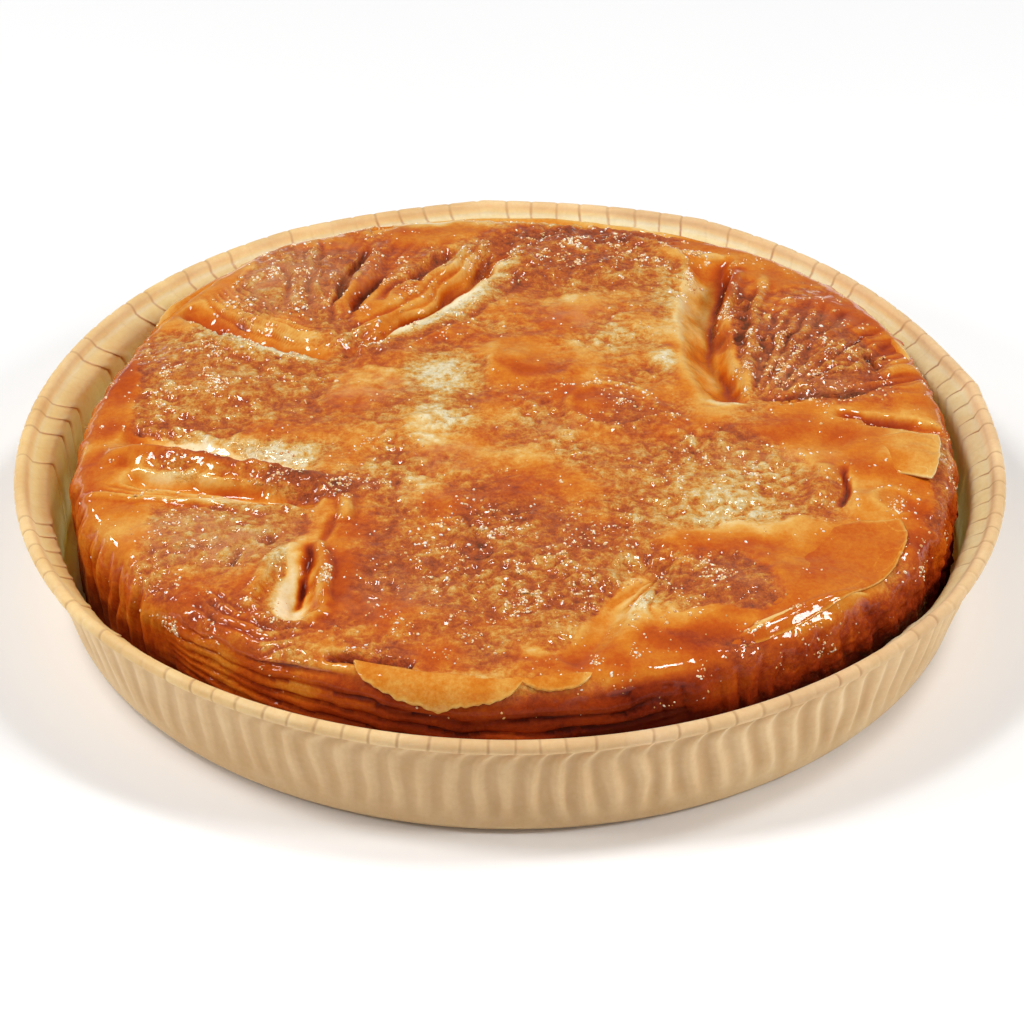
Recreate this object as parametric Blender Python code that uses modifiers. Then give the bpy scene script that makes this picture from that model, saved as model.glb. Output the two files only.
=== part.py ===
"""A kouign amann in its paper baking case.

The pastry is a round, caramelised cake of laminated dough. The dough is folded over
itself before baking, which leaves a cross-shaped sheet on top, a bundle of folded layers
in each of the four corners and trenches between them. It sits in a pleated kraft paper
case with a rolled rim and stands a little proud of it.

Metres, +Z up. The origin is the middle of the underside of the case. East is +X and
north is +Y in the names below.
"""

import math

import bmesh
import bpy
import numpy as np
from mathutils import Vector, noise

MM = 0.001
SOLID_GAP = 0.3               # mm kept between the pastry and the paper

# Paper case, in mm. Radii are to the outer face.
RIM_RADIUS = 95.0
RIM_TOP = 25.3
ROLL_RADIUS = 1.33            # the rim is rolled into a small tube
WALL_HEAD_RADIUS = 92.3       # the wall where it meets the roll
WALL_FOOT_RADIUS = 87.7       # the wall where it meets the rounded foot
BASE_RADIUS = 84.7            # the flat base
FOOT_HEIGHT = 3.8
PAPER = 0.5
PLEATS = 112
PLEAT_DEPTH = 0.35            # how far a crease is drawn in, at the rim
WALL_EXPONENT = 1.3           # the wall leans out faster towards its head
# How far the rim strays from a circle: lobes round it, size in mm, bearing of a peak.
RIM_STRAY = [
    (1, 1.0, 114.0),
    (2, 0.6, 0.0),
    (3, 1.0, 84.0),
    (4, 0.4, 56.0),
    (5, 0.3, 61.0),
]
# Soft corners where the rim was pressed outwards: bearing, size in mm.
RIM_CORNERS = [
    (15.0, 1.4),
    (66.0, 1.1),
    (93.5, 1.4),
    (119.0, 0.6),
    (-146.0, 0.6),
    (-31.0, 0.5),
]
RIM_CORNER_WIDTH = 6.0        # degrees to either side
# How far the rim's height strays: lobes, size in mm, bearing of a peak.
RIM_WAVE = [
    (1, 0.4, 90.0),
    (2, 0.7, -8.0),
]

# Pastry, in mm
PASTRY_RADIUS = 85.7
PASTRY_TOP = 34.0             # middle of the top, above the floor
TOP_DROP = 4.2                # how much lower the top is at its edge
TOP_TILT = 0.022              # the front stands higher than the back
SHOULDER_WIDTH = 4.0          # the rounded edge of the top, in plan
SHOULDER_DROP = 4.5
SIDE_LEAN = 1.6               # the side narrows by this much towards the underside
UNDER_ROUNDING = 4.0
# How far the pastry strays from a circle: lobes, size, bearing of a peak. The four corners
# of the folded square push the round out.
PASTRY_STRAY = [
    (1, 1.3, -45.0),
    (2, 0.6, 87.0),
    (3, 0.7, -20.0),
    (4, 1.0, 38.0),
    (5, 1.0, -24.0),
]
SIDE_ROUGHNESS = 0.7
TOP_ROUGHNESS = 0.6
LUMP_SIZE = 11.0

# Mesh
GRID = 52                     # squares across the top of the pastry
FLAT_SHARE = 0.93             # share of the grid's reach that is top, before the shoulder
SIDE_RINGS = 5
UNDER_RINGS = 2
STEPS_PER_PLEAT = 2

# Raised parts of the top: centre, half length east-west, half length north-south, height.
MOUNDS = [
    ((-60, 18), 19, 19, 1.8),     # west crust
    ((-43, 57), 15, 22, 2.0),     # north-west bundle
    ((15, 64), 24, 13, 1.3),      # north crust
    ((60, 30), 18, 27, 2.2),      # north-east bundle
    ((46, -57), 24, 15, 1.8),     # south-east bundle
    ((-62, -38), 21, 13, 1.8),    # south-west bundle
    ((74, -10), 11, 11, 1.2),     # east flap
    ((19, 4), 9, 9, 0.7),         # blister on the middle of the sheet
    ((-40, -59), 6.5, 9, -8.0),   # open throat of the south-west fold
]

# Folds of the top: start, end, how far the middle bows to the right of the straight line,
# half width, height. A negative height is a trench.
FOLDS = [
    ((-35, 24), (0, 74), 5, 4.5, -5.5),        # trench east of the north-west bundle
    ((-65, 46), (-35, 24), 3, 4.0, -5.0),      # trench south-west of that bundle
    ((-36, 44), (-29, 78), -1.5, 2.4, -3.2),   # creases that fan out inside it
    ((-32, 42), (-26, 66), 0.5, 2.2, -3.0),
    ((-19, 55), (-11, 77), 0, 2.6, -3.6),
    ((-33, 46), (-26, 72), -1, 1.8, 1.2),
    ((43, 66), (44, 6), 3.5, 4.5, -5.0),       # trench west of the north-east bundle
    ((41, 24), (46, 63), -3, 2.2, 1.8),        # shell of that bundle, and the hollow in it
    ((44, 24), (48, 56), 0, 2.4, -3.0),
    ((47, 9), (70, 14), 0, 2.2, -2.0),
    ((66, 4), (81, 2), -1, 3.2, -3.6),         # recess behind the east flap
    ((63, -15), (60, -30), -1, 2.2, -2.2),
    ((-76, -2), (-37, -18), 0, 4.5, -2.2),     # west fold between two pale valleys
    ((-78, -9), (-31, -28), -2, 4.2, 2.0),
    ((-74, -17), (-35, -33), 0, 3.5, -3.0),
    ((-37, -40), (-39, -54), 0, 3.4, -4.0),    # neck of the throat
    ((27, -48), (11, -79), 1, 5.0, -2.8),      # trench west of the south-east bundle
    ((31, -49), (17, -79), 1, 2.6, 1.6),
    ((-33, -78), (-18, -81), 0, 3.6, -4.0),    # cavity under the front edge of the top
]

# The glaze hangs over the south edge of the top like a tongue.
TONGUE_BEARING = -97.0
TONGUE_HALF_ANGLE = 15.0
TONGUE_OVERHANG = 1.6
TONGUE_DEPTH = 9.0            # how far down the side it comes

CRUST_COLOR = (0.42, 0.13, 0.022, 1.0)
PAPER_COLOR = (0.66, 0.47, 0.26, 1.0)


def waves(bearing, terms):
    """Sum of (lobes, size, bearing of a peak in degrees) terms at each bearing in radians."""
    total = np.zeros_like(bearing)
    for lobes, size, peak in terms:
        total += size * np.cos(lobes * (bearing - math.radians(peak)))
    return total


def rim_stray(bearing):
    """How far the rim stands out from its circle at each bearing in radians."""
    stray = waves(bearing, RIM_STRAY)
    for corner, size in RIM_CORNERS:
        turn = (np.degrees(bearing) - corner + 180) % 360 - 180
        stray += size * np.exp(-np.abs(turn) / RIM_CORNER_WIDTH)
    return stray


def lumps(points, size, seed):
    """Smooth seeded unevenness between -1 and 1, with lumps of the given size."""
    offset = Vector((seed, 3.7 * seed, 7.3 * seed))
    return np.array([noise.noise(Vector(point) / size + offset) for point in points])


def line_distance(x, y, start, end, bow):
    """How far each point is from a bowed line, and how far along that line it lies (0 to 1)."""
    samples = 9
    t = np.linspace(0.0, 1.0, samples)
    run = np.subtract(end, start).astype(float)
    right = np.array((run[1], -run[0])) / np.hypot(*run)
    line = np.add(start, np.outer(t, run) + np.outer(4 * bow * t * (1 - t), right))
    nearest = np.full(x.shape, np.inf)
    place = np.zeros(x.shape)
    for i in range(samples - 1):
        a = line[i]
        step = line[i + 1] - a
        s = np.clip(((x - a[0]) * step[0] + (y - a[1]) * step[1]) / step.dot(step), 0, 1)
        distance = np.hypot(x - a[0] - s * step[0], y - a[1] - s * step[1])
        closer = distance < nearest
        nearest = np.where(closer, distance, nearest)
        place = np.where(closer, t[i] + s / (samples - 1), place)
    return nearest, place


def top_relief(x, y):
    """Height of the folds and bundles above the plain dome of the top."""
    height = np.zeros_like(x)
    for centre, half_x, half_y, rise in MOUNDS:
        reach = ((x - centre[0]) / half_x) ** 2 + ((y - centre[1]) / half_y) ** 2
        height += rise * np.clip(1 - reach, 0, None) ** 1.5
    for start, end, bow, half_width, rise in FOLDS:
        distance, place = line_distance(x, y, start, end, bow)
        across = np.clip(1 - (distance / half_width) ** 2, 0, None) ** 1.5
        taper = 1 - (2 * place - 1) ** 6
        height += rise * across * taper
    return height


def pastry_blank():
    """A unit disc of even squares, with a skirt of rings below it and a flat underside.

    A point's z counts the rings: 0 on the disc and -1, -2 and so on down the skirt.
    """
    bm = bmesh.new()
    bmesh.ops.create_grid(bm, x_segments=GRID, y_segments=GRID, size=1.0)
    for vert in bm.verts:
        x, y = vert.co.x, vert.co.y
        vert.co.x = x * math.sqrt(1 - y * y / 2)
        vert.co.y = y * math.sqrt(1 - x * x / 2)
    edge = [e for e in bm.edges if e.is_boundary]
    for _ in range(SIDE_RINGS + UNDER_RINGS):
        made = bmesh.ops.extrude_edge_only(bm, edges=edge)["geom"]
        ring = [g for g in made if isinstance(g, bmesh.types.BMVert)]
        bmesh.ops.translate(bm, verts=ring, vec=(0, 0, -1))
        edge = [g for g in made if isinstance(g, bmesh.types.BMEdge) and g.is_boundary]
    underside = bmesh.ops.holes_fill(bm, edges=edge, sides=0)["faces"]
    bmesh.ops.poke(bm, faces=underside)
    bmesh.ops.recalc_face_normals(bm, faces=bm.faces)
    return bm


def pastry_profile(reach, ring):
    """The plain section: radius, height and slope angle for each point of the blank."""
    floor = PAPER + SOLID_GAP
    edge_height = PASTRY_TOP - TOP_DROP
    side_head = edge_height - SHOULDER_DROP
    flat_radius = PASTRY_RADIUS - SHOULDER_WIDTH
    turn = np.clip((reach - FLAT_SHARE) / (1 - FLAT_SHARE), 0, 1) * math.pi / 2
    radius = np.minimum(reach / FLAT_SHARE, 1) * flat_radius + SHOULDER_WIDTH * np.sin(turn)
    dome = TOP_DROP * np.clip(1 - (radius / PASTRY_RADIUS) ** 2, 0, None)
    height = edge_height + dome - SHOULDER_DROP * (1 - np.cos(turn))
    down = np.clip(ring / SIDE_RINGS, 0, 1)
    foot = floor + UNDER_ROUNDING
    on_side = ring > 0
    height = np.where(on_side, side_head + (foot - side_head) * down, height)
    radius = np.where(on_side, PASTRY_RADIUS - SIDE_LEAN * down, radius)
    under = np.clip((ring - SIDE_RINGS) / UNDER_RINGS, 0, 1) * math.pi / 2
    height -= UNDER_ROUNDING * np.sin(under)
    radius -= UNDER_ROUNDING * (1 - np.cos(under))
    angle = np.where(on_side, math.pi / 2 + under, turn)
    return radius, height, angle


def tongue(bearing, height):
    """How far the hanging glaze stands out from the side."""
    turn = np.degrees(bearing) - TONGUE_BEARING
    turn = (turn + 180) % 360 - 180
    across = np.clip(1 - (turn / TONGUE_HALF_ANGLE) ** 2, 0, 1)
    fall = (PASTRY_TOP - TOP_DROP - height) / TONGUE_DEPTH
    return TONGUE_OVERHANG * across * np.clip(1 - fall ** 4, 0, 1)


def shape_pastry(blank):
    """Turns the points of the blank into the points of the pastry, in mm."""
    x, y, ring = blank[:, 0], blank[:, 1], -np.round(blank[:, 2])
    reach = np.where(ring > 0, 1.0, np.hypot(x, y))
    middle = np.hypot(x, y) < 1e-6
    bearing = np.arctan2(y, x)
    radius, height, angle = pastry_profile(np.minimum(reach, 1), ring)
    radius = radius + waves(bearing, PASTRY_STRAY) * (radius / PASTRY_RADIUS) ** 3
    radius = np.where(middle, 0, radius)

    plan = np.stack([radius * np.cos(bearing), radius * np.sin(bearing), height], axis=1)
    upward = np.clip(np.cos(angle), 0, 1)
    outward = np.clip(np.sin(angle), 0, 1)
    rise = top_relief(plan[:, 0], plan[:, 1]) + TOP_ROUGHNESS * lumps(plan, LUMP_SIZE, 1)
    swell = SIDE_ROUGHNESS * lumps(plan, LUMP_SIZE, 2) + tongue(bearing, height)
    radius = radius + outward * swell
    height = height + upward * (rise - TOP_TILT * plan[:, 1])
    return np.stack([radius * np.cos(bearing), radius * np.sin(bearing), height], axis=1)


def case_profile():
    """Section of the case, from the middle of its floor over the rim to the underside."""
    roll_centre = RIM_RADIUS - ROLL_RADIUS
    roll_height = RIM_TOP - ROLL_RADIUS
    wall_head = roll_height - 0.4 * ROLL_RADIUS
    profile = [
        (0.0, PAPER),
        (BASE_RADIUS - PAPER, PAPER),
        (WALL_FOOT_RADIUS - PAPER, FOOT_HEIGHT + PAPER / 2),
        (WALL_HEAD_RADIUS - PAPER, wall_head),
    ]
    for degrees in range(150, -151, -75):
        turn = math.radians(degrees)
        profile.append((roll_centre + ROLL_RADIUS * math.cos(turn),
                        roll_height + ROLL_RADIUS * math.sin(turn)))
    for degrees in range(90, -1, -45):
        turn = math.radians(degrees)
        profile.append((BASE_RADIUS + (WALL_FOOT_RADIUS - BASE_RADIUS) * math.sin(turn),
                        FOOT_HEIGHT * (1 - math.cos(turn))))
    profile.append((0.0, 0.0))
    return profile


def shape_case(points):
    """Adds the lean, the pleats and the uneven rim to the turned points of the case, in mm."""
    radius = np.hypot(points[:, 0], points[:, 1])
    bearing = np.arctan2(points[:, 1], points[:, 0])
    climb = np.clip(points[:, 2] / RIM_TOP, 0, 1)
    climb = np.where(radius > BASE_RADIUS, climb ** WALL_EXPONENT, 0)
    pleat = PLEAT_DEPTH * np.cos(PLEATS * bearing)
    radius = radius + climb * (rim_stray(bearing) + pleat)
    height = points[:, 2] + climb * waves(bearing, RIM_WAVE)
    return np.stack([radius * np.cos(bearing), radius * np.sin(bearing), height], axis=1)


def material(name, color, roughness):
    made = bpy.data.materials.new(name)
    made.use_nodes = True
    shader = made.node_tree.nodes["Principled BSDF"]
    shader.inputs["Base Color"].default_value = color
    shader.inputs["Roughness"].default_value = roughness
    shader.inputs["Metallic"].default_value = 0.0
    return made


def reshape(mesh, shaper):
    """Moves every point of a mesh by a function that works in mm."""
    points = np.empty(len(mesh.vertices) * 3)
    mesh.vertices.foreach_get("co", points)
    points = shaper(points.reshape(-1, 3))
    mesh.vertices.foreach_set("co", (points * MM).ravel())
    mesh.update()


def make_pastry(collection):
    bm = pastry_blank()
    mesh = bpy.data.meshes.new("pastry")
    bm.to_mesh(mesh)
    bm.free()
    reshape(mesh, shape_pastry)
    mesh.shade_smooth()
    mesh.materials.append(material("caramelised crust", CRUST_COLOR, 0.28))
    pastry = bpy.data.objects.new("pastry", mesh)
    collection.objects.link(pastry)
    return pastry


def make_case(collection):
    """Turns the case's section into a closed ring of paper and shapes it."""
    outline = bpy.data.meshes.new("case section")
    section = case_profile()
    edges = [(i, i + 1) for i in range(len(section) - 1)]
    outline.from_pydata([(r, 0, z) for r, z in section], edges, [])
    turned = bpy.data.objects.new("case section", outline)
    collection.objects.link(turned)
    screw = turned.modifiers.new("turn", "SCREW")
    screw.angle = math.tau
    screw.steps = PLEATS * STEPS_PER_PLEAT
    screw.render_steps = screw.steps
    screw.use_merge_vertices = True
    screw.merge_threshold = 0.0001
    screw.use_smooth_shade = True
    evaluated = turned.evaluated_get(bpy.context.evaluated_depsgraph_get())
    mesh = bpy.data.meshes.new_from_object(evaluated)
    mesh.name = "paper_case"
    bpy.data.objects.remove(turned)
    reshape(mesh, shape_case)
    mesh.shade_smooth()
    mesh.set_sharp_from_angle(angle=math.radians(60))
    mesh.materials.append(material("kraft paper", PAPER_COLOR, 0.75))
    case = bpy.data.objects.new("paper_case", mesh)
    collection.objects.link(case)
    return case


def centre_on_rim(case, others):
    """Puts the origin under the middle of the rim's box, as the rim is not quite round."""
    points = np.array([vert.co for vert in case.data.vertices])
    middle = (points.min(axis=0) + points.max(axis=0)) / 2
    for thing in [case] + others:
        thing.location = (-middle[0], -middle[1], 0)


def main():
    for thing in list(bpy.data.objects):
        bpy.data.objects.remove(thing)
    collection = bpy.data.collections.new("kouign_amann")
    bpy.context.scene.collection.children.link(collection)
    case = make_case(collection)
    pastry = make_pastry(collection)
    centre_on_rim(case, [pastry])


main()
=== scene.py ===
"""The looks of the kouign amann and its paper case: crust, caramel, sugar and kraft paper.

Lengths are in mm in the code and become metres as meshes are made. Plans are drawn round
the middle of the case's round base, with east +X and north +Y, and are moved to where
that base stands in the frame.
"""
import math

import bpy
import numpy as np
from mathutils import Matrix, Vector, kdtree, noise


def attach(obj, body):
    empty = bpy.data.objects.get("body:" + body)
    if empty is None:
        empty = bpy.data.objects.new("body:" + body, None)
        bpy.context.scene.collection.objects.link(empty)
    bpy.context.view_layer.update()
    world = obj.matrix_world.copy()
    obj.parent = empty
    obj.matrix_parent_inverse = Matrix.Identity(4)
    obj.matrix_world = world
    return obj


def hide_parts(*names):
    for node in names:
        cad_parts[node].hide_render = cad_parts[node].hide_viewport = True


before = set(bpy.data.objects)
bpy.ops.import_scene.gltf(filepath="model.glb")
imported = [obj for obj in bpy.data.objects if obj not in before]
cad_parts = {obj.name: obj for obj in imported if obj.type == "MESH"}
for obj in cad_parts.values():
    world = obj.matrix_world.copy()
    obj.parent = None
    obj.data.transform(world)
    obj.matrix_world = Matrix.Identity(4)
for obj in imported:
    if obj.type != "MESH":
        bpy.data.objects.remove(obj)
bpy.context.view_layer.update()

MM = 0.001

# Pastry
PASTRY_RADIUS = 85.7
PASTRY_TOP = 34.0
TOP_DROP = 4.2
TOP_TILT = 0.022
SHOULDER_WIDTH = 4.0
SHOULDER_DROP = 4.5
SIDE_LEAN = 1.6
UNDER_ROUNDING = 4.0
PASTRY_FLOOR = 0.8
PASTRY_STRAY = [
    (1, 1.3, -45.0), (2, 0.6, 87.0), (3, 0.7, -20.0), (4, 1.0, 38.0), (5, 1.0, -24.0),
]
CRUMBLY_EDGE = (-14, 34, 16)     # bearing, half width and fade of the torn edge
TOP_GRID = 300
TONE_BASE = 0.46                 # of the plain crust, before the patches
FILM_BASE = 0.45
SUGAR_BASE = 0.08
SIDE_TONE = 0.53
SIDE_FILM = 0.92
LAYER_PITCH = 2.1                # between the layers that show on the front of the side
FLAT_SHARE = 0.93
SIDE_RINGS = 46
UNDER_RINGS = 6

# Paper case
RIM_RADIUS = 95.0
RIM_TOP = 25.3
ROLL_RADIUS = 1.33
WALL_HEAD_RADIUS = 92.3
WALL_FOOT_RADIUS = 87.7
BASE_RADIUS = 84.7
FOOT_HEIGHT = 3.8
PAPER = 0.5
PLEATS = 112
WALL_EXPONENT = 1.3
STEPS_PER_PLEAT = 16
NOISE_RADIUS = 90.0              # of the ring that noise on the case and glaze is read on
COLLAR_SHARE = 0.90              # of the wall's height, where the section's rows stand closer
COLLAR_FOOT = 21.5               # the inner wall stands in to here, and then
COLLAR_HEAD = 23.4               # runs back to the rim
COLLAR_REACH = 2.3
RIM_STRAY = [
    (1, 1.0, 114.0), (2, 0.6, 0.0), (3, 1.0, 84.0), (4, 0.4, 56.0), (5, 0.3, 61.0),
]
RIM_CORNERS = [
    (15.0, 1.4), (66.0, 1.1), (93.5, 1.4), (119.0, 0.6), (-146.0, 0.6), (-31.0, 0.5),
]
RIM_CORNER_WIDTH = 6.0
RIM_WAVE = [
    (1, 0.4, 90.0), (2, 0.7, -8.0),
]

# Raised and sunken parts of the top: centre, half sizes east-west and north-south, height.
MOUNDS = [
    (-60, 18, 19, 19, 1.8), (-43, 57, 15, 22, 2.0), (15, 64, 24, 13, 1.3),
    (60, 30, 18, 27, 2.2), (46, -57, 24, 15, 1.8), (-62, -38, 21, 13, 1.8),
    (74, -10, 11, 11, 1.2), (19, 4, 9, 9, 0.5), (-40.5, -56.5, 7.2, 11, -4.4),
    (-43.2, -57, 2.6, 5.5, 1.2), (-60, 27, 9, 7, 0.9), (-52, 12, 8, 6, 0.7),
    (38, -24, 10, 8, 0.7), (58, -22, 5, 9, 0.9), (68, -27, 7, 6, 0.8), (40, -55, 9, 5, 0.9),
    (5, 56, 7, 6, 0.8), (22, 58, 8, 6, 0.7), (12, 70, 9, 5, 0.8), (-12, 34, 7, 6, 0.6),
    (-24, 23, 7, 4, 0.9), (-28, -50, 8, 11, 0.6), (-6, -44, 4, 4, -0.9), (8, -47, 9, 6, 0.7),
    (-14, -66, 12, 6, 0.7), (10, -68, 7, 6, 0.6), (-3, 20, 8, 9, 0.6), (29, 23, 3.5, 5, 0.7),
    (36, 57, 4, 5, 0.9), (85, -2, 3.5, 4, 0.9), (84.5, -12, 3, 4, 0.8), (80, -27, 3.5, 4, 0.8),
    (74, -42, 4, 3, 0.6),
]

# Folds of the top: start, end, how far the middle bows to the right of the straight line,
# half widths to the left and to the right of the line, height.
FOLDS = [
    ((-35, 24), (0, 74), 5, 5.0, 3.0, -4.2),      # trench east of the north-west bundle
    ((-33, 23), (4, 70), 5.2, 2.2, 5.0, 1.0),     # lip of the sheet along it
    ((-65, 46), (-35, 24), 3, 6.5, 3.0, -4.2),    # trench south-west of that bundle
    ((-65, 41), (-36, 21), 3.2, 2.0, 5.0, 1.1),   # lip of the sheet along it
    ((43, 66), (44, 6), 3.5, 2.6, 7.5, -4.8),     # trench west of the north-east bundle
    ((45, 7), (38, 7), 0, 1.2, 2.5, 0.4),         # its pale end
    ((41.5, 22), (46, 60), -2.5, 1.6, 2.0, 1.7),  # shell of that bundle
    ((44.5, 27), (47.5, 52), 0.8, 2.4, 2.4, -0.4),  # hollow behind the shell
    ((46, 9), (51, 58), -1.0, 1.6, 1.8, 1.2),
    ((43, 32), (46, 35), 0.3, 0.7, 0.7, 0.7),
    ((43.5, 40), (47, 42), 0.3, 0.7, 0.7, 0.7),
    ((44.5, 47), (48, 48), 0.3, 0.6, 0.6, 0.6),
    ((48, 8.5), (70, 14), 0.8, 0.8, 1.0, -1.6),   # crack across its foot
    ((49, 11), (69, 16.5), 0.8, 1.6, 1.6, 0.9),
    ((62, 4.9), (80, 3.6), 0, 1.0, 2.2, -1.1),    # recess behind the east flap
    ((68, 3.4), (84, 1.2), 0, 2.0, 3.6, -1.5),
    ((63, -15), (61, -29), -1.2, 1.1, 1.1, -1.2),
    ((59, -15), (56, -30), -0.8, 3.0, 2.0, 0.8),
    ((-76, -2), (-37, -18), 0, 4.5, 3.5, -2.4),   # west fold between two pale valleys
    ((-78, -9), (-31, -25), -2, 3.2, 3.8, 2.2),
    ((-31, -26), (-31, -36), -0.5, 2.0, 2.5, 1.3),
    ((-74, -16), (-36, -28.5), 0, 2.6, 3.4, -3.2),
    ((-82, -22.5), (-36, -32), 0.5, 1.0, 1.6, 1.0),
    ((-33.5, -33), (-36, -42), 0, 1.5, 1.5, -0.7),
    ((-37.4, -40), (-39.4, -57), -0.3, 1.3, 1.5, -0.7),  # throat of the south-west fold
    ((-36.5, -40), (-33.8, -62), -1.2, 1.5, 2.4, 1.3),
    ((-40.5, -41), (-48.5, -58), 0.5, 2.0, 2.2, 1.0),
    ((-48.5, -58), (-33.8, -62), 5.5, 1.8, 2.2, 1.2),
    ((30, -42), (11, -79), 1, 3.6, 6.0, -1.7),    # trench west of the south-east bundle
    ((33, -46), (17, -79), 1, 3.4, 2.2, 0.5),
    ((-34, -74), (-17, -78.5), 0.5, 1.0, 2.4, -3.2),  # cavity under the front edge of the top
    ((-44, -38), (-46, -41), 0, 1.5, 1.5, -2.0),
    ((-50, -43), (-52, -48), 0, 0.9, 0.9, -1.6),
    ((71, 24), (70, 28), 0, 1.3, 1.3, -2.0),
    ((-35, 43.5), (-28.5, 71), -1.5, 1.2, 2.0, -2.2),  # creases that fan out in the north-west
    ((-34.5, 41), (-26, 67), -1.0, 2.0, 2.6, 1.5),
    ((-31.5, 42), (-25.5, 58), -1.0, 1.2, 1.7, -1.8),
    ((-40, 46), (-38, 68), -1.0, 1.0, 1.4, -0.9),
    ((-45, 44), (-48, 62), 1.0, 1.0, 1.2, -0.8),
    ((-27, 45), (-19, 59), -1.0, 1.3, 1.6, -0.9),
    ((-20, 54), (-12, 69), -1.2, 1.8, 2.6, -2.2),
    ((-16.5, 55), (-9, 71), 0.6, 1.2, 1.4, 1.0),
    ((-13, 50), (-4, 70), 1.0, 1.0, 1.2, -0.6),
    ((-25, 38), (-6, 70), 2.5, 4.0, 4.5, -1.1),
    ((-30, 32), (-7, 62), 3.4, 0.7, 1.2, 0.6),
    ((-30, 35), (-9, 64), 3.2, 0.7, 1.2, 0.6),
    ((-29, 78), (-24, 80), 0, 2.2, 2.2, -2.2),
    ((-48, 27), (-58, 40), 1.5, 0.8, 0.8, 0.5),
    ((-60, 34), (-57, 41), 0, 0.9, 0.9, -0.8),
    ((20, 75), (36, 62), -2.5, 1.5, 3.0, 0.9),
    ((33, 66), (44, 64), -2.0, 0.8, 1.2, 0.7),
    ((66, -56), (40, -71), 1.0, 3.0, 0.8, 0.9),
]

# Fans of fine creases: tip, first and last bearing, nearest and farthest reach, pitch in
# degrees, depth.
FANS = [
    ((-37, 29), 62, 112, 8, 50, 5.0, 0.7),
    ((46, 5), 12, 88, 6, 46, 6.0, 1.1),
    ((33, -40), 228, 262, 8, 30, 7.0, 0.9),
    ((-32, -32), 182, 224, 8, 44, 6.0, 0.5),
]

# Rows of layer edges beside a trench: start, end, bow, how many, step, half width, height.
LAYERS = [
    ((-62, 52), (-39, 31), 3.5, 7, 1.5, 0.55, -0.55),
    ((-33, 29), (-8, 66), 4, 3, 1.9, 0.8, -0.5),
    ((-78, -19), (-45, -29), 0, 3, -2.2, 0.7, -0.5),
    ((-38, -72), (-60, -60), -4, 4, -2.6, 0.8, -0.7),
]

# Raised rings, such as the rims of blisters: centre, radius, half width, height.
RINGS = [
    (19, 4, 8.0, 1.1, 0.55), (72, -26, 4.5, 0.9, 0.3), (-24, 22, 5.0, 1.2, 0.3),
    (4, 22, 9.0, 1.4, 0.25), (-81.5, -38, 1.6, 0.5, 0.5),
]

# Patches of the top: centre, half sizes, amount. Tone runs from pale dough to dark caramel.
TONE_PATCHES = [
    (39, 34, 3, 26, -0.16), (60, 26, 14, 16, -0.06), (-54, -40, 14, 9, -0.12),
    (-75, -32, 8, 10, -0.05), (42, 3, 9, 6, -0.12), (66, -13, 15, 13, 0.03),
    (52, -44, 20, 12, 0.07), (66, 48, 14, 16, 0.12), (-13, 13, 7, 10, -0.34),
    (-14, -3, 7, 7, -0.30), (-44, -11.5, 10, 5, -0.36), (-60, -7, 9, 4, -0.30),
    (-48, -25.5, 12, 3.0, -0.34), (-64, -18, 11, 4, -0.30), (-16, -24, 5, 5, -0.22),
    (12, -11, 11, 7, -0.16), (40, -30, 15, 11, -0.27), (47, -17, 12, 6, -0.12),
    (23, -60, 4.5, 14, -0.20), (21, 33, 14, 9, -0.16), (33, 45, 6, 15, -0.16),
    (36, 57, 5, 5, -0.14), (10, 50, 4, 8, -0.16), (41, 7, 5, 2.5, -0.26),
    (-60, 30, 12, 8, -0.08), (-58, 16, 12, 9, -0.06), (-50, 47, 6, 14, -0.04),
    # The last patch on the next line and the first on the line after it are painted highlights:
    # pale spots where glints stand.
    (-40.2, -55, 5.4, 10.5, -0.68), (-40.5, -56.5, 9.5, 13, 0.14), (5, -75, 3, 1.5, -0.30),
    (30, 22, 2.5, 5, -0.30), (77, -7, 6, 8, -0.22), (-20, 8, 10, 12, -0.08),
    (-5, 38, 8, 7, -0.08), (0, 83.5, 40, 4.5, -0.42), (-66, 53, 6, 5, -0.16),
    (-80, 5, 2.5, 24, 0.06), (14, 74, 20, 7, 0.20), (4, 56, 9, 9, 0.16), (16, 61, 7, 4, 0.10),
    (-4, -30, 13, 8, 0.18), (-7, -44, 4, 4, 0.24), (-27, -52, 10, 14, 0.16),
    (14, -42, 9, 6, 0.17), (-39, -24, 9, 4.0, 0.28), (-31, -27, 4, 5, 0.12),
    (-57, -16, 7, 4, 0.16), (-12, 31, 8, 4, 0.10), (-25, 22, 8, 4.5, 0.10), (6, 15, 7, 6, 0.13),
    (16, 2, 11, 8, 0.12), (20, -7, 8, 5, 0.10), (44, -5, 9, 4, 0.13), (60, -22, 5, 8, 0.10),
    (9, 33, 6, 5, 0.13), (-24, 60, 14, 18, 0.08), (58, 28, 16, 22, 0.10), (45, 40, 4, 16, 0.12),
    (-77, 16, 5, 20, 0.14), (42, -56, 12, 9, 0.12), (24, -74, 14, 7, 0.14),
    (45, -72, 20, 6, 0.16), (-10, -76, 20, 4, 0.12), (0, -55, 22, 10, 0.04),
    (0, 78, 26, 4, 0.12), (-62, -62, 16, 10, 0.16), (77, -38, 6, 16, 0.14),
]

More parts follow.
